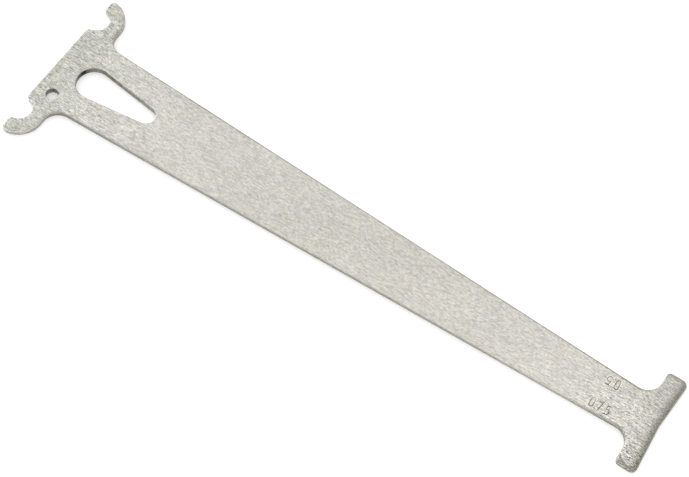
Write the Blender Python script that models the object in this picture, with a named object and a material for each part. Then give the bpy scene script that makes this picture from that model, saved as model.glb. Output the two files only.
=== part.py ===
"""Chain wear gauge: one stamped steel plate, hooked at its head and T-shaped at its foot.

The plate lies flat on its back. +X runs from the hooked head to the foot, +Y points to the side
that tests the smaller wear, and +Z points out of the face whose edges the punch rolled over.
The outline is a polygon of straight sides with a tangent arc at each corner, and every side has
its own roll, which is the rounding that the stamping leaves along its upper edge.
"""

import math
from collections import namedtuple

import bmesh
import bpy
from mathutils import Vector
from mathutils.geometry import tessellate_polygon

MM = 0.001

# The roller chain that the gauge reads
CHAIN_PITCH = 12.7 * MM
PITCHES_SPANNED = 12
ROLLER_DIAMETER = 7.75 * MM
WEAR_LIMIT_PLUS_Y = 0.005
WEAR_LIMIT_MINUS_Y = 0.0075

# The plate and its tapering body
THICKNESS = 1.6 * MM
BODY_WIDTH_AT_HEAD = 19.5 * MM
BODY_WIDTH_AT_FOOT = 9.4 * MM

# The throats that seat on a roller, measured from the head edge and the centreline
THROAT_OFFSET = 13.7 * MM
THROAT_DEPTH = 3.1 * MM
THROAT_RADIUS = 2.8 * MM
THROAT_FLARE = math.radians(22.0)
LIP_RADIUS = 0.9 * MM

# The hooks outside the throats
HOOK_TIP_WIDTH = 3.15 * MM
HOOK_THICKNESS = 3.1 * MM
HOOK_BACK_SLOPE = math.radians(12.0)
HOOK_TIP_INNER_RADIUS = 0.7 * MM
HOOK_TIP_OUTER_RADIUS = 1.25 * MM
HOOK_SHOULDER_RADIUS = 5.6 * MM
NECK_RADIUS = 3.5 * MM

# The foot, whose two prongs drop between the rollers of a worn chain
FOOT_WIDTH = 23.1 * MM
PRONG_THICKNESS = 4.6 * MM
FOOT_FILLET_RADIUS = 3.5 * MM
PRONG_INNER_RADIUS = 1.0 * MM
PRONG_OUTER_RADIUS = 1.2 * MM
FOOT_NOTCH_DEPTH = 0.7 * MM
FOOT_NOTCH_RADIUS = 3.0 * MM

# The teardrop slot, whose large end faces the head
SLOT_LARGE_RADIUS = 3.8 * MM
SLOT_SMALL_RADIUS = 2.1 * MM
SLOT_SETBACK = 9.6 * MM
SLOT_CENTRE_DISTANCE = 13.5 * MM

# The round hole that the gauge hangs on, measured from the head edge and the throat beside it
HANG_HOLE_DIAMETER = 2.7 * MM
HANG_HOLE_SETBACK = 4.1 * MM
HANG_HOLE_TO_THROAT = 6.5 * MM

# Rolled upper edges: how far each reaches in from the outline and down from the face
EDGE_ROLL = 0.2 * MM
HOOK_ROLL = 0.45 * MM
PRONG_ROLL = 0.6 * MM
FOOT_END_ROLL = 1.9 * MM
FOOT_END_DROP = 1.1 * MM
BACK_EDGE_BREAK = 0.12 * MM
LEAST_ROLLED_RADIUS_SHARE = 0.25

# Facets
ARC_STEP = math.radians(7.5)
ROLL_STEPS = 5
HOLE_POINTS = 40
SHARP_ANGLE = math.radians(40.0)

# One corner of the outline, and the roll of the side that leaves it
Corner = namedtuple("Corner", "x y radius roll drop")


def clear_scene():
    for old in list(bpy.data.objects):
        bpy.data.objects.remove(old, do_unlink=True)


def gauge_span(wear_limit):
    """Distance from the bottom of a throat to the end of the prong on the same side."""
    return CHAIN_PITCH * PITCHES_SPANNED * (1.0 + wear_limit) - ROLLER_DIAMETER


def half_outline(wear_limit):
    """Corners of the +Y half, from the head edge over the hook to the prong's end."""
    prong_end = THROAT_DEPTH + gauge_span(wear_limit)
    prong_back = prong_end - PRONG_THICKNESS
    hook_outside = THROAT_DEPTH + HOOK_THICKNESS
    taper = (BODY_WIDTH_AT_FOOT - BODY_WIDTH_AT_HEAD) / 2 / prong_back

    def body_edge(x):
        return BODY_WIDTH_AT_HEAD / 2 + taper * x

    base = THROAT_RADIUS * math.tan(math.pi / 4 - THROAT_FLARE / 2)
    mouth = base + THROAT_DEPTH * math.tan(THROAT_FLARE)
    hook_reach = THROAT_OFFSET + mouth + HOOK_TIP_WIDTH
    shoulder = hook_reach - hook_outside * math.tan(HOOK_BACK_SLOPE)
    return [
        Corner(0, THROAT_OFFSET - mouth, LIP_RADIUS, EDGE_ROLL, EDGE_ROLL),
        Corner(THROAT_DEPTH, THROAT_OFFSET - base, THROAT_RADIUS, EDGE_ROLL, EDGE_ROLL),
        Corner(THROAT_DEPTH, THROAT_OFFSET + base, THROAT_RADIUS, EDGE_ROLL, EDGE_ROLL),
        Corner(0, THROAT_OFFSET + mouth, HOOK_TIP_INNER_RADIUS, HOOK_ROLL, HOOK_ROLL),
        Corner(0, hook_reach, HOOK_TIP_OUTER_RADIUS, HOOK_ROLL, HOOK_ROLL),
        Corner(hook_outside, shoulder, HOOK_SHOULDER_RADIUS, HOOK_ROLL, HOOK_ROLL),
        Corner(hook_outside, body_edge(hook_outside), NECK_RADIUS, EDGE_ROLL, EDGE_ROLL),
        Corner(prong_back, body_edge(prong_back), FOOT_FILLET_RADIUS, EDGE_ROLL, EDGE_ROLL),
        Corner(prong_back, FOOT_WIDTH / 2, PRONG_INNER_RADIUS, PRONG_ROLL, PRONG_ROLL),
        Corner(prong_end, FOOT_WIDTH / 2, PRONG_OUTER_RADIUS, FOOT_END_ROLL, FOOT_END_DROP),
    ]


def mirrored(half):
    """The same corners on the -Y side, in reverse order, each with the side that leaves it."""
    corners = []
    for corner, before in zip(half[::-1], half[-2::-1] + [half[0]]):
        corners.append(corner._replace(y=-corner.y, roll=before.roll, drop=before.drop))
    return corners


def plate_outline():
    """All corners of the plate, clockwise seen from above."""
    plus = half_outline(WEAR_LIMIT_PLUS_Y)
    minus = half_outline(WEAR_LIMIT_MINUS_Y)
    notch_x = (plus[-1].x + minus[-1].x) / 2 - FOOT_NOTCH_DEPTH
    notch = Corner(notch_x, 0, FOOT_NOTCH_RADIUS, FOOT_END_ROLL, FOOT_END_DROP)
    return plus + [notch] + mirrored(minus)


def headings(corners):
    """Unit direction of the side that leaves each corner."""
    following = corners[1:] + corners[:1]
    return [Vector((b.x - a.x, b.y - a.y)).normalized() for a, b in zip(corners, following)]


def inset_points(corners, ways, share):
    """Corner points with each side moved inwards by its share of its own roll."""
    moved = []
    for i, corner in enumerate(corners):
        before, after = ways[i - 1], ways[i]
        inset_before = corners[i - 1].roll * share
        inset_after = corner.roll * share
        inward = Vector((before.y, -before.x))
        along = (inset_after - inset_before * before.dot(after)) / before.cross(after)
        moved.append(Vector((corner.x, corner.y)) + inward * inset_before + before * along)
    return moved


def inset_radius(corners, i, turn, share):
    """A corner's radius after the inset: less where the plate is convex, more where concave."""
    inset = min(corners[i - 1].roll, corners[i].roll) * share
    if turn < 0:
        return max(corners[i].radius - inset, corners[i].radius * LEAST_ROLLED_RADIUS_SHARE)
    return corners[i].radius + inset


def arc(start, heading, turn, radius):
    """Points of an arc that leaves start along heading and turns by the given angle."""
    towards_centre = Vector((-heading.y, heading.x)) * math.copysign(radius, turn)
    centre = start + towards_centre
    steps = max(1, math.ceil(abs(turn) / ARC_STEP))
    points = []
    for k in range(steps + 1):
        cosine = math.cos(turn * k / steps)
        sine = math.sin(turn * k / steps)
        spoke = -towards_centre
        turned = Vector((spoke.x * cosine - spoke.y * sine, spoke.x * sine + spoke.y * cosine))
        points.append(centre + turned)
    return points


def outline_ring(corners, share):
    """Points along the outline at one level of the roll, each with its own drop."""
    count = len(corners)
    ways = headings(corners)
    points = inset_points(corners, ways, share)
    turns = []
    reaches = []
    for i in range(count):
        turn = math.atan2(ways[i - 1].cross(ways[i]), ways[i - 1].dot(ways[i]))
        turns.append(turn)
        reaches.append(inset_radius(corners, i, turn, share) * math.tan(abs(turn) / 2))
    room = []
    for i in range(count):
        after = (i + 1) % count
        room.append((points[after] - points[i]).length / (reaches[i] + reaches[after]))
    ring = []
    for i in range(count):
        reach = reaches[i] * min(1.0, room[i - 1], room[i])
        start = points[i] - ways[i - 1] * reach
        curve = arc(start, ways[i - 1], turns[i], reach / math.tan(abs(turns[i]) / 2))
        drop_change = corners[i].drop - corners[i - 1].drop
        for k, point in enumerate(curve):
            ring.append((point, corners[i - 1].drop + drop_change * k / (len(curve) - 1)))
    return ring


def slot_ring(growth):
    """Points around the teardrop slot, widened by the given growth."""
    lean = math.asin((SLOT_LARGE_RADIUS - SLOT_SMALL_RADIUS) / SLOT_CENTRE_DISTANCE)
    far_centre = SLOT_SETBACK + SLOT_CENTRE_DISTANCE
    large_end = (SLOT_SETBACK, SLOT_LARGE_RADIUS + growth, math.pi, math.pi + 2 * lean)
    small_end = (far_centre, SLOT_SMALL_RADIUS + growth, 0.0, math.pi - 2 * lean)
    ring = []
    for centre, radius, middle, sweep in (large_end, small_end):
        first = middle - sweep / 2
        spoke = Vector((math.cos(first), math.sin(first)))
        start = Vector((centre, 0)) + spoke * radius
        ring += arc(start, Vector((-spoke.y, spoke.x)), sweep, radius)
    return ring


def hang_hole_ring(growth):
    radius = HANG_HOLE_DIAMETER / 2 + growth
    ring = []
    for k in range(HOLE_POINTS):
        angle = 2 * math.pi * k / HOLE_POINTS
        x = HANG_HOLE_SETBACK + radius * math.cos(angle)
        y = HANG_HOLE_TO_THROAT - THROAT_OFFSET + radius * math.sin(angle)
        ring.append(Vector((x, y)))
    return ring


def roll_levels():
    """Shares of the inset and of the drop at each step round the rolled edge."""
    for k in range(ROLL_STEPS + 1):
        angle = math.pi / 2 * k / ROLL_STEPS
        yield 1.0 - math.cos(angle), 1.0 - math.sin(angle)


def outer_levels():
    """Rings of 3-D points up the plate's outside, from the back face to the upper face."""
    corners = plate_outline()
    deepest_drop = THICKNESS - 2 * BACK_EDGE_BREAK
    flat = [c._replace(roll=BACK_EDGE_BREAK) for c in corners]
    levels = [[(p.x, p.y, 0.0) for p, _ in outline_ring(flat, 1.0)]]
    levels.append([(p.x, p.y, BACK_EDGE_BREAK) for p, _ in outline_ring(flat, 0.0)])
    for inset_share, drop_share in roll_levels():
        ring = outline_ring(corners, inset_share)
        heights = [THICKNESS - min(drop, deepest_drop) * drop_share for _, drop in ring]
        levels.append([(p.x, p.y, z) for (p, _), z in zip(ring, heights)])
    return levels


def inner_levels(ring_of):
    """Rings of 3-D points up the wall of an opening, from the back face to the upper face."""
    levels = [[(p.x, p.y, 0.0) for p in ring_of(BACK_EDGE_BREAK)]]
    levels.append([(p.x, p.y, BACK_EDGE_BREAK) for p in ring_of(0.0)])
    for inset_share, drop_share in roll_levels():
        height = THICKNESS - EDGE_ROLL * drop_share
        levels.append([(p.x, p.y, height) for p in ring_of(EDGE_ROLL * inset_share)])
    return levels


def add_wall(mesh, levels):
    """Faces between rings that follow each other. Returns the first and the last ring."""
    rings = [[mesh.verts.new(point) for point in level] for level in levels]
    for low, high in zip(rings, rings[1:]):
        for i in range(len(low)):
            mesh.faces.new((low[i - 1], low[i], high[i], high[i - 1]))
    return rings[0], rings[-1]


def add_face(mesh, rings):
    """A flat face bounded by the first ring, with the other rings as openings in it."""
    corners = [vertex for ring in rings for vertex in ring]
    for triangle in tessellate_polygon([[v.co for v in ring] for ring in rings]):
        mesh.faces.new([corners[i] for i in triangle])


def gauge_plate_mesh():
    mesh = bmesh.new()
    walls = [outer_levels(), inner_levels(slot_ring), inner_levels(hang_hole_ring)]
    rims = [add_wall(mesh, levels) for levels in walls]
    add_face(mesh, [low for low, _ in rims])
    add_face(mesh, [high for _, high in rims])
    bmesh.ops.recalc_face_normals(mesh, faces=mesh.faces)
    low_x = min(v.co.x for v in mesh.verts)
    high_x = max(v.co.x for v in mesh.verts)
    bmesh.ops.translate(mesh, verts=mesh.verts, vec=(-(low_x + high_x) / 2, 0, 0))
    data = bpy.data.meshes.new("gauge_plate")
    mesh.to_mesh(data)
    mesh.free()
    return data


def steel():
    material = bpy.data.materials.new("tumbled_steel")
    material.use_nodes = True
    shader = material.node_tree.nodes["Principled BSDF"]
    shader.inputs["Base Color"].default_value = (0.60, 0.59, 0.56, 1.0)
    shader.inputs["Metallic"].default_value = 1.0
    shader.inputs["Roughness"].default_value = 0.42
    return material


def build_gauge_plate():
    data = gauge_plate_mesh()
    data.materials.append(steel())
    data.shade_smooth()
    data.set_sharp_from_angle(angle=SHARP_ANGLE)
    plate = bpy.data.objects.new("gauge_plate", data)
    bpy.context.scene.collection.objects.link(plate)
    return plate


clear_scene()
build_gauge_plate()
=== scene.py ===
"""Looks of the chain wear gauge: its stamped plate in fine mesh, steel, floor, light and camera.

The frame is the part's own: X from the hooked head to the T-shaped foot, Y to the side that
tests the smaller wear, Z out of the face whose edges are rolled, in metres. The plate here
repeats the solid's outline with finer arcs, and adds what a punch and die leave on its walls
and the wear limits that are stamped beside the foot. Its colour also holds painted shade and
painted light on the walls, the rolled edges and the strokes, and at the head edge and foot's end.
"""

import math
from collections import namedtuple
from itertools import product

import bmesh
import bpy
from mathutils import Matrix, Vector, noise
from mathutils.geometry import delaunay_2d_cdt


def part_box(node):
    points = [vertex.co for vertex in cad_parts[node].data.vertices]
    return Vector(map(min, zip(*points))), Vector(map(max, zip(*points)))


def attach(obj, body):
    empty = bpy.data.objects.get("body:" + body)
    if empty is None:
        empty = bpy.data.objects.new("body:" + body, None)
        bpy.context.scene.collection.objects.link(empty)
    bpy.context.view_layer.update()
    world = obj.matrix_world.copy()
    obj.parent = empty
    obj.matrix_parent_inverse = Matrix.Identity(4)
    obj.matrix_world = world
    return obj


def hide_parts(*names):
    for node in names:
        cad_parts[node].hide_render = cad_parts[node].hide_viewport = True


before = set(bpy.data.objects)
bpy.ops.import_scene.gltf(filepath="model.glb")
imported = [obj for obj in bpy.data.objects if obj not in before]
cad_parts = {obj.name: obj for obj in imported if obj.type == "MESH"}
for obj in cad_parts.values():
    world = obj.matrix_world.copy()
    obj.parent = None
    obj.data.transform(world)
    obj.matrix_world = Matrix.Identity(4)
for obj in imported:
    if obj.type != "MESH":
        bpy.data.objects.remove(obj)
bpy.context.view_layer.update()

# A corner of the outline, with the roll and drop of the side that leaves it
Corner = namedtuple("Corner", "x y radius roll drop")

# Noise with its wavelengths along and across the plate, its tilt, and how much it changes
Layer = namedtuple("Layer", "along across tilt share")

MM = 0.001
NODE = "gauge_plate"
NODE_LOW, NODE_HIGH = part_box(NODE)
HEAD_X = NODE_LOW.x
THICKNESS = NODE_HIGH.z - NODE_LOW.z

# The chain that sets the plate's length
CHAIN_PITCH = 12.7 * MM
PITCHES_SPANNED = 12
ROLLER_DIAMETER = 7.75 * MM
WEAR_LIMIT_PLUS_Y = 0.005
WEAR_LIMIT_MINUS_Y = 0.0075

# Outline: body, throats, hooks and foot
BODY_WIDTH_AT_HEAD = 19.5 * MM
BODY_WIDTH_AT_FOOT = 9.4 * MM
THROAT_OFFSET = 13.7 * MM
THROAT_DEPTH = 3.1 * MM
THROAT_RADIUS = 2.8 * MM
THROAT_FLARE = math.radians(22.0)
LIP_RADIUS = 0.9 * MM
HOOK_TIP_WIDTH = 3.15 * MM
HOOK_THICKNESS = 3.1 * MM
HOOK_BACK_SLOPE = math.radians(12.0)
HOOK_TIP_INNER_RADIUS = 0.7 * MM
HOOK_TIP_OUTER_RADIUS = 1.25 * MM
HOOK_SHOULDER_RADIUS = 5.6 * MM
NECK_RADIUS = 3.5 * MM
FOOT_WIDTH = 23.1 * MM
PRONG_THICKNESS = 4.6 * MM
FOOT_FILLET_RADIUS = 3.5 * MM
PRONG_INNER_RADIUS = 1.0 * MM
PRONG_OUTER_RADIUS = 1.2 * MM
FOOT_NOTCH_DEPTH = 0.7 * MM
FOOT_NOTCH_RADIUS = 3.0 * MM

# Openings
SLOT_LARGE_RADIUS = 3.8 * MM
SLOT_SMALL_RADIUS = 2.1 * MM
SLOT_SETBACK = 9.6 * MM
SLOT_CENTRE_DISTANCE = 13.5 * MM
HANG_HOLE_DIAMETER = 2.7 * MM
HANG_HOLE_SETBACK = 4.1 * MM
HANG_HOLE_TO_THROAT = 6.5 * MM

# Rolled upper edges
EDGE_ROLL = 0.2 * MM
HANG_HOLE_ROLL = 0.11 * MM
HOOK_ROLL = 0.45 * MM
PRONG_TIP_ROLL = 1.4 * MM
PRONG_TIP_DROP = 0.75 * MM
FOOT_END_ROLL = 1.9 * MM
FOOT_END_DROP = 1.1 * MM
BACK_EDGE_BREAK = 0.12 * MM
LEAST_ROLLED_RADIUS_SHARE = 0.25

# Walls: a smooth land below the roll, and torn metal below the land
TEAR_SHARE = 0.45
TEAR_WAVE = 0.30
TEAR_DEPTH = 0.025 * MM
TEAR_ROUGHNESS = 0.014 * MM
TEAR_WAVELENGTH = 0.9 * MM
TEAR_GRAIN = 0.3 * MM

# Mesh steps
ARC_STEP = math.radians(3.0)
SIDE_STEP = 0.5 * MM
SLOT_STEP = 0.15 * MM
ROLL_STEPS = 9
HOLE_POINTS = 96
FACE_GRID = 0.9 * MM
FACE_MARGIN = 0.35 * MM

# Levels of a wall: round its broken back edge, and as shares of the torn metal and of the land
BREAK_ANGLES = (0.0, math.pi / 4)
TORN_LEVELS = (0.0, 0.33, 0.67, 1.0)
LAND_LEVELS = (0.03, 0.5, 1.0)

# Triangulation: it keeps what the outline encloses, and joins points that are this near, in mm
INSIDE_CONSTRAINTS = 1
NEARNESS = 1e-5

# Stamped wear limits: where each number starts and ends on the face, from the head edge, the
# width of each character in digit heights, and the step round a digit's bows in degrees
NUMBERS = (
    ("0.75", Vector((133.95, -4.27)) * MM, Vector((138.42, -4.12)) * MM),
    ("0.5", Vector((137.25, 3.74)) * MM, Vector((134.33, 3.62)) * MM),
)
DIGIT_HEIGHT = 1.95 * MM
DIGIT_ADVANCE = {"0": 0.60, "7": 0.75, "5": 0.48, ".": 0.33}
OVAL_STEP = 15

# Strokes: a groove with a low bank, whose width is a share of the groove's half width
STROKE_HALF_WIDTH = 0.13 * MM
STROKE_DEPTH = 0.09 * MM
STROKE_BANK = 0.012 * MM
BANK_WIDTH = 0.8
BANK_RISE_POWER = 4
STROKE_REACH = STROKE_HALF_WIDTH * 1.9
STROKE_GRID = 0.04 * MM

# How dark a stroke is, as painted shade in its groove, and how much a tilted punch and an uneven
# blow take from it
STROKE_PAINTED_SHADE = 0.80
STROKE_FADE = 0.25
STROKE_UNEVENNESS = 0.55
STROKE_WAVELENGTH = 0.9 * MM

# Camera, fitted to the outline in the photograph
CAMERA_TARGET = Vector((-0.89, 0.05, 0.0)) * MM
CAMERA_DISTANCE = 422.4 * MM
CAMERA_AZIMUTH = math.radians(-62.63)
CAMERA_ELEVATION = math.radians(60.92)
CAMERA_ROLL = math.radians(6.78)
CAMERA_LENS = 107.11
CAMERA_NEAR = 10 * MM
SENSOR_WIDTH = 36.0

# Steel: its colours from the head to the foot, each at its x in the part's frame. The darker
# stops at the head edge and at the foot's end are painted shade; the rest is the steel's own tone
STEEL_TONE_AND_PAINTED_SHADE = (
    (-74 * MM, (0.450, 0.453, 0.408)),
    (-64 * MM, (0.528, 0.520, 0.480)),
    (-40 * MM, (0.562, 0.550, 0.504)),
    (17 * MM, (0.588, 0.568, 0.516)),
    (50 * MM, (0.652, 0.630, 0.578)),
    (67 * MM, (0.652, 0.633, 0.580)),
    (73 * MM, (0.578, 0.560, 0.512)),
)
STEEL_ROUGHNESS = 0.40
ROUGHNESS_SPREAD = 0.22

# Painted shade on the outside wall's smooth land and torn metal, from the head edge on, and painted
# light where below 0; on the torn metal it also holds the metal's own darker tone
OUTER_LAND_PAINTED_SHADE = (
    (4.5 * MM, -0.18),
    (6.5 * MM, 0.25),
    (10 * MM, 0.35),
    (25 * MM, 0.12),
    (110 * MM, 0.14),
    (126 * MM, 0.06),
    (141 * MM, 0.40),
)
OUTER_TORN_TONE_AND_SHADE = (
    (4.5 * MM, -0.10),
    (6.5 * MM, 0.35),
    (10 * MM, 0.45),
    (25 * MM, 0.34),
    (110 * MM, 0.36),
    (126 * MM, 0.25),
    (141 * MM, 0.52),
)

# Painted shade that the narrow roll adds at the body's +Y edge, painted light at its -Y edge, and
# how near the middle line it fades. At +Y a share of it reaches the rim and ends over a band of the
# face. At -Y it fades on the roll.
ROLL_PAINTED_SHADE_PLUS_Y = (
    (12 * MM, 0.0),
    (32 * MM, 0.65),
    (70 * MM, 0.36),
    (90 * MM, 0.38),
    (134 * MM, 0.66),
    (140 * MM, 0.62),
    (143.5 * MM, 0.0),
)
ROLL_PAINTED_LIGHT_MINUS_Y = ((6 * MM, -0.28), (110 * MM, -0.28), (126 * MM, -0.10))
ROLL_SIDE_WIDTH = 3.0 * MM
RIM_SHARE_OF_PAINTED_SHADE = 0.8
RIM_BAND = 0.25 * MM
ROLL_FADE_POWER = 3

# Painted shade that the broad roll at the foot's end adds, at its +Y end and at its -Y end
FOOT_END_PAINTED_SHADE_PLUS_Y = 0.0
FOOT_END_PAINTED_SHADE_MINUS_Y = 0.24

# How much an opening's wall darkens the steel: painted shade, with the torn metal's own darker
# tone;
# what of it a wall's broken back edge keeps, and how strongly red, green and blue are darkened
INNER_LAND_PAINTED_SHADE = 0.54
INNER_TORN_TONE_AND_SHADE = 0.44
BREAK_SHARE_OF_DARK = 0.5
DARK_TINT = (1.0, 0.99, 1.09)

# Streaks down the walls of the openings, the painted shade that the slot's wall changes along the
# plate, and a spot of painted shade at its end near the head
STREAK_SPACING = 0.33 * MM
STREAK_SHARE = 0.60
SLOT_PAINTED_SHADE_CHANGE = (
    (7.0 * MM, 0.0),
    (9.0 * MM, -0.12),
    (11.5 * MM, 0.19),
    (16.0 * MM, 0.02),
    (22.0 * MM, -0.07),
)
PAINTED_SHADE_SPOT = Vector((6.0, 1.1)) * MM
PAINTED_SHADE_SPOT_REACH = 2.2 * MM
PAINTED_SHADE_SPOT_DARK = 0.56

# Painted shade: the +Y side of the foot is a little darker
FOOT_SHADE = 0.10
FOOT_SHADE_X = (60 * MM, 68 * MM)
FOOT_SHADE_Y = (-1 * MM, 6 * MM)

# Grain: how much each layer changes the brightness, and at which levels of the noise a scratch,
# a fleck or a nick starts and is full
SCRATCHES = (
    Layer(1.4 * MM, 0.19 * MM, math.radians(1), 0.25),
    Layer(0.75 * MM, 0.18 * MM, math.radians(-5), 0.24),
    Layer(0.28 * MM, 0.22 * MM, math.radians(35), 0.20),
)
SCRATCH_RANGE = (0.38, 0.62)
MOTTLE = Layer(4.5 * MM, 2.4 * MM, math.radians(5), 0.08)
PATCHES = Layer(16 * MM, 9 * MM, math.radians(0), 0.18)
FLECKS = Layer(1.3 * MM, 0.24 * MM, math.radians(-4), 0.09)
FLECK_RANGE = (0.54, 0.78)
NICKS = Layer(1.2 * MM, 0.26 * MM, math.radians(-7), -0.10)
NICK_RANGE = (0.46, 0.26)
FINE_DETAIL = 2.0
PLAIN_DETAIL = 1.0
DETAIL_ROUGHNESS = 0.6

# A cast between warm and cool, which adds to the red what it takes from the blue
CAST = Layer(2.0 * MM, 1.2 * MM, math.radians(10), 0.045)

# Where the grain is stronger, and by how much
HEAD_GRAIN = 0.75
HEAD_GRAIN_X = (-40 * MM, -78 * MM)
FOOT_GRAIN = 0.40
FOOT_GRAIN_X = (48 * MM, 68 * MM)
MIDDLE_GRAIN = 0.50
MIDDLE_GRAIN_Y = (7 * MM, -2 * MM)
PRONG_GRAIN = 0.9
PRONG_GRAIN_Y = (-3 * MM, -9 * MM)

# Height of the scratches in the bump
BUMP_HEIGHT = 0.004 * MM

# Studio: the floor, a room that is brightest overhead, and a soft box
WHITE = (1.0, 1.0, 1.0, 1.0)
FLOOR_SIZE = 6.0
FLOOR_GAP = 0.01 * MM
FLOOR_COLOUR = (0.97, 0.97, 0.97)
SEEN_GLOW = 0.29
MIRRORED_GLOW = 0.25
BRIGHT_SIDE = Vector((-0.10, 0.18, 0.98))
BRIGHT_FROM = -0.3
BRIGHT_TO = 1.0
WORLD_DARK = 0.36
WORLD_BRIGHT = 1.10
BOX_SIZE = 0.7
BOX_DISTANCE = 1.3
BOX_DIRECTION = Vector((-0.80, 0.35, 0.45))
BOX_POWER = 5.5


def gauge_span(wear_limit):
    """Distance from the bottom of a throat to the end of the prong on the same side."""
    return CHAIN_PITCH * PITCHES_SPANNED * (1.0 + wear_limit) - ROLLER_DIAMETER


def half_outline(wear_limit):
    """Corners of the +Y half, from the head edge over the hook to the prong's end."""
    prong_end = THROAT_DEPTH + gauge_span(wear_limit)
    prong_back = prong_end - PRONG_THICKNESS
    prong_tip = FOOT_WIDTH / 2
    hook_outside = THROAT_DEPTH + HOOK_THICKNESS
    taper = (BODY_WIDTH_AT_FOOT - BODY_WIDTH_AT_HEAD) / 2 / prong_back

    def body_edge(x):
        return BODY_WIDTH_AT_HEAD / 2 + taper * x

    base = THROAT_RADIUS * math.tan(math.pi / 4 - THROAT_FLARE / 2)
    mouth = base + THROAT_DEPTH * math.tan(THROAT_FLARE)
    hook_reach = THROAT_OFFSET + mouth + HOOK_TIP_WIDTH
    shoulder = hook_reach - hook_outside * math.tan(HOOK_BACK_SLOPE)
    return [
        Corner(0, THROAT_OFFSET - mouth, LIP_RADIUS, EDGE_ROLL, EDGE_ROLL),
        Corner(THROAT_DEPTH, THROAT_OFFSET - base, THROAT_RADIUS, EDGE_ROLL, EDGE_ROLL),
        Corner(THROAT_DEPTH, THROAT_OFFSET + base, THROAT_RADIUS, EDGE_ROLL, EDGE_ROLL),
        Corner(0, THROAT_OFFSET + mouth, HOOK_TIP_INNER_RADIUS, HOOK_ROLL, HOOK_ROLL),
        Corner(0, hook_reach, HOOK_TIP_OUTER_RADIUS, HOOK_ROLL, HOOK_ROLL),
        Corner(hook_outside, shoulder, HOOK_SHOULDER_RADIUS, HOOK_ROLL, HOOK_ROLL),
        Corner(hook_outside, body_edge(hook_outside), NECK_RADIUS, EDGE_ROLL, EDGE_ROLL),
        Corner(prong_back, body_edge(prong_back), FOOT_FILLET_RADIUS, EDGE_ROLL, EDGE_ROLL),
        Corner(prong_back, prong_tip, PRONG_INNER_RADIUS, PRONG_TIP_ROLL, PRONG_TIP_DROP),
        Corner(prong_end, prong_tip, PRONG_OUTER_RADIUS, FOOT_END_ROLL, FOOT_END_DROP),
    ]


def mirrored(half):
    """The same corners on the -Y side, in reverse order, each with the side that leaves it."""
    corners = []
    for corner, before in zip(half[::-1], half[-2::-1] + [half[0]]):
        corners.append(corner._replace(y=-corner.y, roll=before.roll, drop=before.drop))
    return corners


def plate_outline():
    """All corners of the plate, clockwise seen from above."""
    plus = half_outline(WEAR_LIMIT_PLUS_Y)
    minus = half_outline(WEAR_LIMIT_MINUS_Y)
    notch_x = (plus[-1].x + minus[-1].x) / 2 - FOOT_NOTCH_DEPTH
    notch = Corner(notch_x, 0, FOOT_NOTCH_RADIUS, FOOT_END_ROLL, FOOT_END_DROP)
    return plus + [notch] + mirrored(minus)


def headings(corners):
    """Unit direction of the side that leaves each corner."""
    following = corners[1:] + corners[:1]
    return [Vector((b.x - a.x, b.y - a.y)).normalized() for a, b in zip(corners, following)]


def inset_points(corners, ways, share):
    """Corner points with each side moved inwards by its share of its own roll."""
    moved = []
    for i, corner in enumerate(corners):
        before, after = ways[i - 1], ways[i]
        inset_before = corners[i - 1].roll * share
        inset_after = corner.roll * share
        inward = Vector((before.y, -before.x))
        along = (inset_after - inset_before * before.dot(after)) / before.cross(after)
        moved.append(Vector((corner.x, corner.y)) + inward * inset_before + before * along)
    return moved


def inset_radius(corners, i, turn, share):
    """A corner's radius after the inset: less where the plate is convex, more where concave."""
    inset = min(corners[i - 1].roll, corners[i].roll) * share
    if turn < 0:
        return max(corners[i].radius - inset, corners[i].radius * LEAST_ROLLED_RADIUS_SHARE)
    return corners[i].radius + inset


def arc(start, heading, turn, radius):
    """Points of an arc that leaves start along heading and turns by the given angle."""
    towards_centre = Vector((-heading.y, heading.x)) * math.copysign(radius, turn)
    centre = start + towards_centre
    steps = max(1, math.ceil(abs(turn) / ARC_STEP))
    points = []
    for k in range(steps + 1):
        cosine = math.cos(turn * k / steps)
        sine = math.sin(turn * k / steps)
        spoke = -towards_centre
        turned = Vector((spoke.x * cosine - spoke.y * sine, spoke.x * sine + spoke.y * cosine))
        points.append(centre + turned)
    return points


def side_points(start, end, pieces):
    """Points between the ends of a straight side, without the ends."""
    return [start.lerp(end, k / pieces) for k in range(1, pieces)]


def outline_ring(corners, share):
    """Points along the outline at one level of the roll, each with its own drop."""
    count = len(corners)
    ways = headings(corners)
    points = inset_points(corners, ways, share)
    turns = []
    reaches = []
    for i in range(count):
        turn = math.atan2(ways[i - 1].cross(ways[i]), ways[i - 1].dot(ways[i]))
        turns.append(turn)
        reaches.append(inset_radius(corners, i, turn, share) * math.tan(abs(turn) / 2))
    room = []
    for i in range(count):
        after = (i + 1) % count
        room.append((points[after] - points[i]).length / (reaches[i] + reaches[after]))
    curves = []
    for i in range(count):
        reach = reaches[i] * min(1.0, room[i - 1], room[i])
        start = points[i] - ways[i - 1] * reach
        curves.append(arc(start, ways[i - 1], turns[i], reach / math.tan(abs(turns[i]) / 2)))
    ring = []
    for i, curve in enumerate(curves):
        drop_change = corners[i].drop - corners[i - 1].drop
        for k, point in enumerate(curve):
            ring.append((point, corners[i - 1].drop + drop_change * k / (len(curve) - 1)))
        after = (i + 1) % count
        length = math.dist(corners[i][:2], corners[after][:2])
        pieces = max(1, math.ceil(length / SIDE_STEP))
        for point in side_points(curve[-1], curves[after][0], pieces):
            ring.append((point, corners[i].drop))
    return ring


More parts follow.
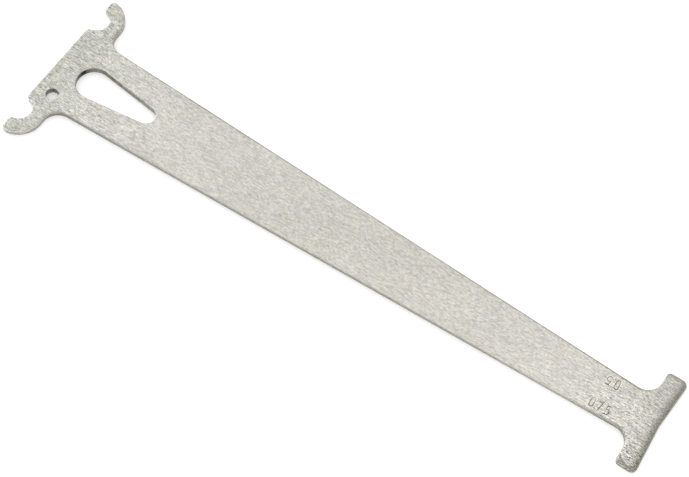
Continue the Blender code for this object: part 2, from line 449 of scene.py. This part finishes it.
def slot_ring(growth):
    """Points around the teardrop slot, widened by the given growth."""
    lean = math.asin((SLOT_LARGE_RADIUS - SLOT_SMALL_RADIUS) / SLOT_CENTRE_DISTANCE)
    far_centre = SLOT_SETBACK + SLOT_CENTRE_DISTANCE
    large_end = (SLOT_SETBACK, SLOT_LARGE_RADIUS + growth, math.pi, math.pi + 2 * lean)
    small_end = (far_centre, SLOT_SMALL_RADIUS + growth, 0.0, math.pi - 2 * lean)
    curves = []
    for centre, radius, middle, sweep in (large_end, small_end):
        first = middle - sweep / 2
        spoke = Vector((math.cos(first), math.sin(first)))
        start = Vector((centre, 0)) + spoke * radius
        curves.append(arc(start, Vector((-spoke.y, spoke.x)), sweep, radius))
    pieces = math.ceil(SLOT_CENTRE_DISTANCE / SLOT_STEP)
    ring = []
    for curve, following in (curves, curves[::-1]):
        ring += curve + side_points(curve[-1], following[0], pieces)
    return ring


def hang_hole_ring(growth):
    """Points around the hang hole, widened by the given growth."""
    radius = HANG_HOLE_DIAMETER / 2 + growth
    ring = []
    for k in range(HOLE_POINTS):
        angle = 2 * math.pi * k / HOLE_POINTS
        x = HANG_HOLE_SETBACK + radius * math.cos(angle)
        y = HANG_HOLE_TO_THROAT - THROAT_OFFSET + radius * math.sin(angle)
        ring.append(Vector((x, y)))
    return ring


def wavering(point, wavelength):
    """Smooth noise at a point of the plate, from about -1 to 1."""
    return noise.noise(Vector((point.x, point.y, 0)) / wavelength)


def tear_height(point, drop):
    """Height of the line between the torn metal and the smooth land, which wavers."""
    share = TEAR_SHARE + TEAR_WAVE * wavering(point, TEAR_WAVELENGTH)
    return BACK_EDGE_BREAK + (THICKNESS - drop - BACK_EDGE_BREAK) * share


def value_at(x, stops):
    """Value at x on straight lines between stops of (x, value)."""
    for (x0, first), (x1, last) in zip(stops, stops[1:]):
        if x < x1:
            return first + (last - first) * max(0.0, (x - x0) / (x1 - x0))
    return stops[-1][1]


def outer_tone_and_painted_shade(point, drop, is_torn):
    """Painted shade on the plate's outside wall, with the torn metal's own darker tone, and the
    painted shade that the broad roll at the foot's end adds.
    """
    plain = value_at(point.x, OUTER_TORN_TONE_AND_SHADE if is_torn else OUTER_LAND_PAINTED_SHADE)
    at_end = max(0.0, (drop - PRONG_TIP_DROP) / (FOOT_END_DROP - PRONG_TIP_DROP))
    to_minus_y = 0.5 - point.y / FOOT_WIDTH
    end_change = FOOT_END_PAINTED_SHADE_MINUS_Y - FOOT_END_PAINTED_SHADE_PLUS_Y
    return plain + at_end * (FOOT_END_PAINTED_SHADE_PLUS_Y + end_change * to_minus_y)


def roll_painted_light_and_shade(point, drop, inset_share):
    """Painted shade that the narrow roll adds, up to the rim at +Y, and painted light fading at -Y.
    """
    if point.y > 0:
        fade = 1.0 - (1.0 - RIM_SHARE_OF_PAINTED_SHADE) * inset_share
        dark = value_at(point.x, ROLL_PAINTED_SHADE_PLUS_Y) * fade
    else:
        dark = value_at(point.x, ROLL_PAINTED_LIGHT_MINUS_Y) * (1.0 - inset_share ** ROLL_FADE_POWER)
    from_middle = min(1.0, abs(point.y) / ROLL_SIDE_WIDTH)
    narrow = max(0.0, min(1.0, (PRONG_TIP_DROP - drop) / (PRONG_TIP_DROP - HOOK_ROLL)))
    return dark * from_middle * narrow


def inner_tone_and_painted_shade(point, _, is_torn):
    """Painted shade on an opening's wall, with the torn metal's own darker tone, streaks down it
    and a spot of painted shade at the slot's end.
    """
    plain = INNER_TORN_TONE_AND_SHADE if is_torn else INNER_LAND_PAINTED_SHADE
    streak = wavering(point, STREAK_SPACING) * STREAK_SHARE
    spot = max(0.0, 1.0 - (point - PAINTED_SHADE_SPOT).length / PAINTED_SHADE_SPOT_REACH) * PAINTED_SHADE_SPOT_DARK
    return plain * (1.0 + streak) + spot + value_at(point.x, SLOT_PAINTED_SHADE_CHANGE)


def wall_levels(ring_of, dark_of):
    """Rings of (x, y, z, dark) up a wall, from the back face to the foot of the roll."""
    base = ring_of(0.0)
    tears = [tear_height(p, drop) for p, drop in base]
    torn = ring_of(TEAR_DEPTH)
    levels = []
    for angle in BREAK_ANGLES:
        inset = TEAR_DEPTH + BACK_EDGE_BREAK * (1 - math.sin(angle))
        z = BACK_EDGE_BREAK * (1 - math.cos(angle))
        level = []
        for p, drop in ring_of(inset):
            level.append((p.x, p.y, z, dark_of(p, drop, True) * BREAK_SHARE_OF_DARK))
        levels.append(level)
    for share in TORN_LEVELS:
        level = []
        for (p, drop), (outer, _), tear in zip(torn, base, tears):
            z = BACK_EDGE_BREAK + (tear - BACK_EDGE_BREAK) * share
            bump = noise.noise(Vector((p.x, p.y, z)) / TEAR_GRAIN)
            place = p.lerp(outer, bump * TEAR_ROUGHNESS / TEAR_DEPTH)
            level.append((place.x, place.y, z, dark_of(p, drop, True)))
        levels.append(level)
    for share in LAND_LEVELS:
        level = []
        for (p, drop), tear in zip(base, tears):
            z = tear + (THICKNESS - drop - tear) * share
            level.append((p.x, p.y, z, dark_of(p, drop, False)))
        levels.append(level)
    return levels


def roll_levels():
    """Shares of the inset and of the drop at each step round the rolled edge."""
    for k in range(1, ROLL_STEPS + 1):
        angle = math.pi / 2 * k / ROLL_STEPS
        yield 1.0 - math.cos(angle), 1.0 - math.sin(angle)


def outer_levels():
    """All rings up the plate's outside, and one on the face, where the rim's painted shade ends."""
    corners = plate_outline()

    def ring_of(inset):
        flat = [c._replace(roll=inset) for c in corners]
        return outline_ring(flat, 1.0)

    levels = wall_levels(ring_of, outer_tone_and_painted_shade)
    for inset_share, drop_share in roll_levels():
        level = []
        for p, drop in outline_ring(corners, inset_share):
            dark = outer_tone_and_painted_shade(p, drop, False) * (1.0 - inset_share)
            dark += roll_painted_light_and_shade(p, drop, inset_share)
            level.append((p.x, p.y, THICKNESS - drop * drop_share, dark))
        levels.append(level)
    band = [c._replace(roll=c.roll + RIM_BAND) for c in corners]
    levels.append([(p.x, p.y, THICKNESS, 0.0) for p, _ in outline_ring(band, 1.0)])
    return levels


def inner_levels(plain_ring, roll):
    """All rings up the wall of an opening."""
    def ring_of(growth):
        return [(p, roll) for p in plain_ring(growth)]

    levels = wall_levels(ring_of, inner_tone_and_painted_shade)
    for inset_share, drop_share in roll_levels():
        height = THICKNESS - roll * drop_share
        level = []
        for p in plain_ring(roll * inset_share):
            level.append((p.x, p.y, height, inner_tone_and_painted_shade(p, roll, False) * drop_share))
        levels.append(level)
    return levels


def digit_strokes(digit):
    """Strokes of a digit as lists of points, in a box one digit high and half as wide."""
    if digit == "0":
        low = oval(Vector((0.25, 0.16)), 0.19, 0.19, 180, 360)
        high = oval(Vector((0.25, 0.86)), 0.19, 0.19, 0, 180)
        return [low + high + low[:1]]
    if digit == "7":
        return [[Vector((-0.08, 0.97)), Vector((0.30, 0.97)), Vector((0.14, 0.0))]]
    if digit == "5":
        bowl = oval(Vector((0.20, 0.30)), 0.24, 0.30, 105, -125)
        return [[Vector((0.42, 0.97)), Vector((0.08, 0.97)), Vector((0.04, 0.55))] + bowl]
    return [[Vector((0.05, 0.0)), Vector((0.08, 0.03))]]


def oval(centre, half_width, half_height, first, last):
    """Points of an elliptical arc between two angles in degrees."""
    steps = max(2, round(abs(last - first) / OVAL_STEP))
    points = []
    for k in range(steps + 1):
        angle = math.radians(first + (last - first) * k / steps)
        spoke = Vector((half_width * math.cos(angle), half_height * math.sin(angle)))
        points.append(centre + spoke)
    return points


def number_segments(text, start, end):
    """Straight pieces of every stroke of a number, on the face, from the head edge."""
    along = (end - start).normalized()
    up = Vector((-along.y, along.x))
    width = sum(DIGIT_ADVANCE[c] for c in text)
    stretch = (end - start).length / (width * DIGIT_HEIGHT)
    pen = 0.0
    segments = []
    for character in text:
        for stroke in digit_strokes(character):
            placed = []
            for p in stroke:
                across = (pen + p.x) * stretch
                placed.append(start + (along * across + up * p.y) * DIGIT_HEIGHT)
            segments += list(zip(placed, placed[1:]))
        pen += DIGIT_ADVANCE[character]
    return segments


def distance_to_segment(point, segment):
    """Distance from a point to the nearest place on a straight piece."""
    first, last = segment
    side = last - first
    share = max(0.0, min(1.0, (point - first).dot(side) / side.length_squared))
    return (point - first - side * share).length


def stamped_depth(distance):
    """Height change across a stroke: a round groove with a low bank pushed up beside it."""
    ratio = distance / STROKE_HALF_WIDTH
    if ratio < 1:
        return -STROKE_DEPTH * (1 - ratio * ratio) + STROKE_BANK * ratio ** BANK_RISE_POWER
    return STROKE_BANK * max(0.0, 1 - (ratio - 1) / BANK_WIDTH) ** 2


def stamped_painted_shade(distance):
    """Painted shade across a stroke, which is most at its bottom."""
    return STROKE_PAINTED_SHADE * max(0.0, 1 - (distance / STROKE_HALF_WIDTH) ** 2)


def grid_cells(points, margin, step):
    """Column and row of each grid point over the box of the given points, with a margin."""
    spans = []
    for axis in (0, 1):
        low = math.floor((min(p[axis] for p in points) - margin) / step)
        high = math.ceil((max(p[axis] for p in points) + margin) / step)
        spans.append(range(low, high + 1))
    return product(*spans)


def grid_point(column, row, step):
    """A point of a grid whose odd rows stand half a step aside."""
    return Vector((column + 0.5 * (row % 2), row)) * step


def stamped_points():
    """Face points on and beside the strokes: place, height change and painted shade.

    The punch stood a little tilted, so each number is deepest on its -Y side.
    """
    points = []
    for text, start, end in NUMBERS:
        found = {}
        segments = number_segments(text, start, end)
        lowest = min(p.y for segment in segments for p in segment)
        for segment in segments:
            for cell in grid_cells(segment, STROKE_REACH, STROKE_GRID):
                distance = distance_to_segment(grid_point(*cell, STROKE_GRID), segment)
                if distance < STROKE_REACH:
                    found[cell] = min(found.get(cell, STROKE_REACH), distance)
        for cell, distance in found.items():
            spot = grid_point(*cell, STROKE_GRID)
            force = 1.0 - STROKE_FADE * max(0.0, spot.y - lowest) / DIGIT_HEIGHT
            force += STROKE_UNEVENNESS * wavering(spot, STROKE_WAVELENGTH)
            force = max(0.0, min(1.0, force))
            points.append((spot, stamped_depth(distance) * force, stamped_painted_shade(distance) * force))
    return points


def in_opening(spot):
    """Whether a point lies in the hang hole or in the box around the slot."""
    hole = Vector((HANG_HOLE_SETBACK, HANG_HOLE_TO_THROAT - THROAT_OFFSET))
    slot_low = SLOT_SETBACK - SLOT_LARGE_RADIUS
    slot_high = SLOT_SETBACK + SLOT_CENTRE_DISTANCE + SLOT_SMALL_RADIUS
    in_slot = slot_low < spot.x < slot_high and abs(spot.y) < SLOT_LARGE_RADIUS
    return in_slot or (spot - hole).length < HANG_HOLE_DIAMETER / 2


def margin_cell(point):
    """Column and row of the cell that a point lies in, of cells as wide as the face's margin."""
    return round(point.x / FACE_MARGIN), round(point.y / FACE_MARGIN)


def plain_points(rings, stamped):
    """Points of a plain grid, clear of the face's rims and openings and of the strokes."""
    taken = {margin_cell(p) for ring in rings for p in ring}
    taken.update(margin_cell(p) for p, _, _ in stamped)
    points = []
    for cell in grid_cells(rings[0], 0.0, FACE_GRID):
        spot = grid_point(*cell, FACE_GRID)
        column, row = margin_cell(spot)
        around = product(range(column - 1, column + 2), range(row - 1, row + 2))
        if taken.isdisjoint(around) and not in_opening(spot):
            points.append(spot)
    return points


def add_wall(mesh, levels, dark_layer):
    """Faces between rings that follow each other. Returns the first and the last ring."""
    rings = []
    for level in levels:
        ring = []
        for x, y, z, dark in level:
            vertex = mesh.verts.new((x, y, z))
            vertex[dark_layer] = dark
            ring.append(vertex)
        rings.append(ring)
    for low, high in zip(rings, rings[1:]):
        for i in range(len(low)):
            mesh.faces.new((low[i - 1], low[i], high[i], high[i - 1]))
    return rings[0], rings[-1]


def add_face(mesh, rims, extra, dark_layer):
    """A face bounded by the rims, the first outside, through the extra (point, z, dark) points.

    The openings are convex, so a triangle lies in one where all its corners are on that rim.
    """
    vertices = [vertex for rim in rims for vertex in rim]
    flat = [vertex.co.xy / MM for vertex in vertices]
    rim_of = []
    edges = []
    for number, rim in enumerate(rims):
        first = len(rim_of)
        edges += [(first + k, first + (k + 1) % len(rim)) for k in range(len(rim))]
        rim_of += [number] * len(rim)
    flat += [point / MM for point, _, _ in extra]
    rim_of += [0] * len(extra)
    vertices += [None] * len(extra)
    _, _, faces, sources, _, _ = delaunay_2d_cdt(flat, edges, [], INSIDE_CONSTRAINTS, NEARNESS)
    for face in faces:
        picked = [sources[i][0] for i in face]
        opening = rim_of[picked[0]]
        if opening and all(rim_of[i] == opening for i in picked):
            continue
        for i in picked:
            if vertices[i] is None:
                point, z, dark = extra[i - len(vertices) + len(extra)]
                vertices[i] = mesh.verts.new((point.x, point.y, z))
                vertices[i][dark_layer] = dark
        mesh.faces.new([vertices[i] for i in picked])


def gauge_plate_mesh():
    """The plate's walls, its face with the stamped numbers and its plain back."""
    mesh = bmesh.new()
    # The dark layer: painted shade and light on walls, rolls and strokes, with the torn metal's own
    # tone
    dark_layer = mesh.verts.layers.float.new("dark")
    walls = [
        outer_levels(),
        inner_levels(slot_ring, EDGE_ROLL),
        inner_levels(hang_hole_ring, HANG_HOLE_ROLL),
    ]
    rims = [add_wall(mesh, levels, dark_layer) for levels in walls]
    backs = [low for low, _ in rims]
    fronts = [high for _, high in rims]
    stamped = stamped_points()
    upper = [(p, THICKNESS + change, dark) for p, change, dark in stamped]
    plain = plain_points([[v.co.xy for v in rim] for rim in fronts], stamped)
    add_face(mesh, fronts, upper + [(p, THICKNESS, 0.0) for p in plain], dark_layer)
    plain = plain_points([[v.co.xy for v in rim] for rim in backs], [])
    add_face(mesh, backs, [(p, 0.0, 0.0) for p in plain], dark_layer)
    bmesh.ops.recalc_face_normals(mesh, faces=mesh.faces)
    bmesh.ops.translate(mesh, verts=mesh.verts, vec=(HEAD_X, 0, NODE_LOW.z))
    data = bpy.data.meshes.new("stamped_plate")
    mesh.to_mesh(data)
    mesh.free()
    data.shade_smooth()
    return data


class Nodes:
    """Adds nodes to a tree. An input is a number, a tuple or another node's output."""

    def __init__(self, tree):
        self.tree = tree

    def add(self, kind, inputs, **settings):
        """Adds a node of a kind, with its settings and its inputs by name or number."""
        node = self.tree.nodes.new(kind)
        for name, value in settings.items():
            setattr(node, name, value)
        for name, value in inputs.items():
            self.put(node.inputs[name], value)
        return node

    def put(self, socket, value):
        """Links an output to the socket, or sets the socket to a number or a tuple."""
        if isinstance(value, bpy.types.NodeSocket):
            self.tree.links.new(value, socket)
        else:
            socket.default_value = value

    def math(self, operation, *values):
        """The result of an operation on numbers."""
        node = self.add("ShaderNodeMath", dict(enumerate(values)), operation=operation)
        return node.outputs[0]

    def vector(self, operation, *values):
        """The result of an operation on vectors or colours."""
        node = self.add("ShaderNodeVectorMath", dict(enumerate(values)), operation=operation)
        return node.outputs["Vector"]

    def attribute(self, name):
        """The value of a vertex layer."""
        return self.add("ShaderNodeAttribute", {}, attribute_name=name).outputs["Fac"]


def grain(nodes, place, layer, detail=FINE_DETAIL):
    """Noise with a layer's wavelengths along and across the plate, turned by its tilt."""
    laid = nodes.add("ShaderNodeMapping", {
        "Vector": place,
        "Rotation": (0, 0, layer.tilt),
        "Scale": (layer.along, layer.across, layer.across),
    }, vector_type="TEXTURE")
    texture = nodes.add("ShaderNodeTexNoise", {
        "Vector": laid.outputs["Vector"],
        "Scale": 1.0,
        "Detail": detail,
        "Roughness": DETAIL_ROUGHNESS,
    })
    return texture.outputs["Fac"]


def between(nodes, value, start, end):
    """How far a value has come from the start to the end, from 0 to 1, with soft ends."""
    node = nodes.add(
        "ShaderNodeMapRange",
        {"Value": value, "From Min": start, "From Max": end},
        interpolation_type="SMOOTHSTEP",
    )
    return node.outputs["Result"]


def summed(nodes, base, parts):
    """The base plus the share of each value, counted from the noise's middle of one half."""
    total = base - sum(share for _, share in parts) / 2
    for value, share in parts:
        total = nodes.math("MULTIPLY_ADD", value, share, total)
    return total


def steel_tone_and_painted_shade(nodes, x):
    """The steel's colour, which changes a little from the head to the foot, with painted shade at
    the head edge and the foot's end.
    """
    first, last = STEEL_TONE_AND_PAINTED_SHADE[0][0], STEEL_TONE_AND_PAINTED_SHADE[-1][0]
    way = nodes.add("ShaderNodeMapRange", {"Value": x, "From Min": first, "From Max": last})
    ramp = nodes.add("ShaderNodeValToRGB", {"Fac": way.outputs["Result"]})
    stops = ramp.color_ramp.elements
    anywhere = 0.5
    while len(stops) < len(STEEL_TONE_AND_PAINTED_SHADE):
        stops.new(anywhere)
    for stop, (stop_x, colour) in zip(stops, STEEL_TONE_AND_PAINTED_SHADE):
        stop.position = (stop_x - first) / (last - first)
        stop.color = (*colour, 1.0)
    return ramp.outputs["Color"]


def grain_strength(nodes, x, y):
    """How strong the grain is: 1 on most of the body, more towards the head and on the foot."""
    at_head = between(nodes, x, *HEAD_GRAIN_X)
    at_foot = between(nodes, x, *FOOT_GRAIN_X)
    at_middle = nodes.math("MULTIPLY", at_foot, between(nodes, y, *MIDDLE_GRAIN_Y))
    at_prong = nodes.math("MULTIPLY", at_foot, between(nodes, y, *PRONG_GRAIN_Y))
    strength = nodes.math("MULTIPLY_ADD", at_head, HEAD_GRAIN, 1.0)
    strength = nodes.math("MULTIPLY_ADD", at_foot, FOOT_GRAIN, strength)
    strength = nodes.math("MULTIPLY_ADD", at_middle, MIDDLE_GRAIN, strength)
    return nodes.math("MULTIPLY_ADD", at_prong, PRONG_GRAIN, strength)


def grain_change(nodes, place, scratches):
    """What scratches, mottling, flecks and nicks together change in the brightness."""
    mottle = grain(nodes, place, MOTTLE)
    change = summed(nodes, 0.0, scratches + [(mottle, MOTTLE.share)])
    fleck = between(nodes, grain(nodes, place, FLECKS, PLAIN_DETAIL), *FLECK_RANGE)
    change = nodes.math("MULTIPLY_ADD", fleck, FLECKS.share, change)
    nick = between(nodes, grain(nodes, place, NICKS, PLAIN_DETAIL), *NICK_RANGE)
    return nodes.math("MULTIPLY_ADD", nick, NICKS.share, change)


def steel_colour(nodes, place, scratches):
    """The tint and its cast, times the brightness, less the darkness of walls, rolls and strokes,
    which is painted shade and light with the torn metal's own darker tone.
    """
    axes = nodes.add("ShaderNodeSeparateXYZ", {"Vector": place}).outputs
    x, y = axes["X"], axes["Y"]
    patches = summed(nodes, 1.0, [(grain(nodes, place, PATCHES), PATCHES.share)])
    change = grain_change(nodes, place, scratches)
    brightness = nodes.math("MULTIPLY_ADD", change, grain_strength(nodes, x, y), patches)
    # Painted shade on the +Y side of the foot
    across = between(nodes, y, *FOOT_SHADE_Y)
    shade = nodes.math("MULTIPLY", between(nodes, x, *FOOT_SHADE_X), across)
    brightness = nodes.math("MULTIPLY_ADD", shade, -FOOT_SHADE, brightness)
    warmth = summed(nodes, 0.0, [(grain(nodes, place, CAST, PLAIN_DETAIL), CAST.share)])
    coolness = nodes.math("MULTIPLY", warmth, -1.0)
    cast = nodes.add("ShaderNodeCombineXYZ", {"X": warmth, "Z": coolness}).outputs["Vector"]
    tint = nodes.vector("ADD", steel_tone_and_painted_shade(nodes, x), cast)
    lit = nodes.vector("MULTIPLY", tint, brightness)
    # Painted shade from the dark layer, with the torn metal's own tone, taken off the colour
    lost = nodes.vector("MULTIPLY", nodes.attribute("dark"), DARK_TINT)
    left = nodes.vector("SUBTRACT", (1.0, 1.0, 1.0), lost)
    return nodes.vector("MULTIPLY", lit, left)


def new_material(name):
    """A new material, the adder of its nodes and the inputs of its shader."""
    material = bpy.data.materials.new(name)
    material.use_nodes = True
    shader = material.node_tree.nodes["Principled BSDF"]
    return material, Nodes(material.node_tree), shader.inputs


def steel():
    """Tumbled steel: its colour, a roughness that follows its scratches, and their bump."""
    material, nodes, inputs = new_material("tumbled_steel")
    place = nodes.add("ShaderNodeTexCoord", {}).outputs["Object"]
    scratches = []
    for layer in SCRATCHES:
        line = between(nodes, grain(nodes, place, layer), *SCRATCH_RANGE)
        scratches.append((line, layer.share))
    nodes.put(inputs["Base Color"], steel_colour(nodes, place, scratches))
    nodes.put(inputs["Metallic"], 1.0)
    longest, _ = scratches[0]
    nodes.put(inputs["Roughness"], summed(nodes, STEEL_ROUGHNESS, [(longest, ROUGHNESS_SPREAD)]))
    height = summed(nodes, 0.0, scratches)
    bump = nodes.add("ShaderNodeBump", {"Height": height, "Strength": 1.0, "Distance": BUMP_HEIGHT})
    nodes.put(inputs["Normal"], bump.outputs["Normal"])
    return material


def new_object(name, data):
    """A new object in the scene."""
    added = bpy.data.objects.new(name, data)
    bpy.context.scene.collection.objects.link(added)
    return added


def build_plate():
    """The steel plate, which stands for the solid."""
    data = gauge_plate_mesh()
    data.materials.append(steel())
    plate = new_object("stamped_plate", data)
    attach(plate, "root")
    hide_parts(NODE)


def floor_paper():
    """White paper that glows a little where it is seen or mirrored, and keeps deep shadows."""
    material, nodes, inputs = new_material("floor_paper")
    nodes.put(inputs["Base Color"], (*FLOOR_COLOUR, 1.0))
    nodes.put(inputs["Roughness"], 1.0)
    nodes.put(inputs["Specular IOR Level"], 0.0)
    path = nodes.add("ShaderNodeLightPath", {}).outputs
    mirrored = nodes.math("MAXIMUM", path["Is Glossy Ray"], path["Is Transmission Ray"])
    glow = nodes.math("MULTIPLY", path["Is Camera Ray"], SEEN_GLOW)
    glow = nodes.math("MULTIPLY_ADD", mirrored, MIRRORED_GLOW, glow)
    nodes.put(inputs["Emission Color"], WHITE)
    nodes.put(inputs["Emission Strength"], glow)
    return material


def build_floor():
    """A wide sheet of paper just under the plate."""
    mesh = bmesh.new()
    bmesh.ops.create_grid(mesh, x_segments=1, y_segments=1, size=FLOOR_SIZE / 2)
    data = bpy.data.meshes.new("floor")
    mesh.to_mesh(data)
    mesh.free()
    data.materials.append(floor_paper())
    floor = new_object("floor", data)
    floor.location.z = NODE_LOW.z - FLOOR_GAP


def light_world():
    """A soft room, bright overhead and darker towards its walls."""
    world = bpy.data.worlds.new("studio")
    world.use_nodes = True
    bpy.context.scene.world = world
    nodes = Nodes(world.node_tree)
    direction = nodes.add("ShaderNodeTexCoord", {}).outputs["Generated"]
    dot = nodes.add(
        "ShaderNodeVectorMath",
        {0: direction, 1: BRIGHT_SIDE.normalized()},
        operation="DOT_PRODUCT",
    )
    level = nodes.add("ShaderNodeMapRange", {
        "Value": dot.outputs["Value"],
        "From Min": BRIGHT_FROM,
        "From Max": BRIGHT_TO,
        "To Min": WORLD_DARK,
        "To Max": WORLD_BRIGHT,
    })
    background = world.node_tree.nodes["Background"]
    nodes.put(background.inputs["Color"], WHITE)
    nodes.put(background.inputs["Strength"], level.outputs["Result"])


def light_softbox():
    """One weak soft box on the head's side of the plate."""
    lamp = bpy.data.lights.new("softbox", "AREA")
    lamp.shape = "SQUARE"
    lamp.size = BOX_SIZE
    lamp.energy = BOX_POWER
    box = new_object("softbox", lamp)
    way = BOX_DIRECTION.normalized()
    box.location = way * BOX_DISTANCE
    box.rotation_euler = way.to_track_quat("Z", "Y").to_euler()


def place_camera():
    """The camera at its place round the target, rolled about its line of sight."""
    lens = bpy.data.cameras.new("camera")
    lens.lens = CAMERA_LENS
    lens.sensor_width = SENSOR_WIDTH
    lens.sensor_fit = "HORIZONTAL"
    lens.clip_start = CAMERA_NEAR
    camera = new_object("camera", lens)
    level = math.cos(CAMERA_ELEVATION)
    back = Vector((
        level * math.cos(CAMERA_AZIMUTH),
        level * math.sin(CAMERA_AZIMUTH),
        math.sin(CAMERA_ELEVATION),
    ))
    turn = back.to_track_quat("Z", "Y").to_matrix() @ Matrix.Rotation(CAMERA_ROLL, 3, "Z")
    place = Matrix.Translation(CAMERA_TARGET + back * CAMERA_DISTANCE)
    camera.matrix_world = place @ turn.to_4x4()
    bpy.context.scene.camera = camera


bpy.context.scene.view_settings.view_transform = "Standard"
place_camera()
light_world()
light_softbox()
build_floor()
build_plate()
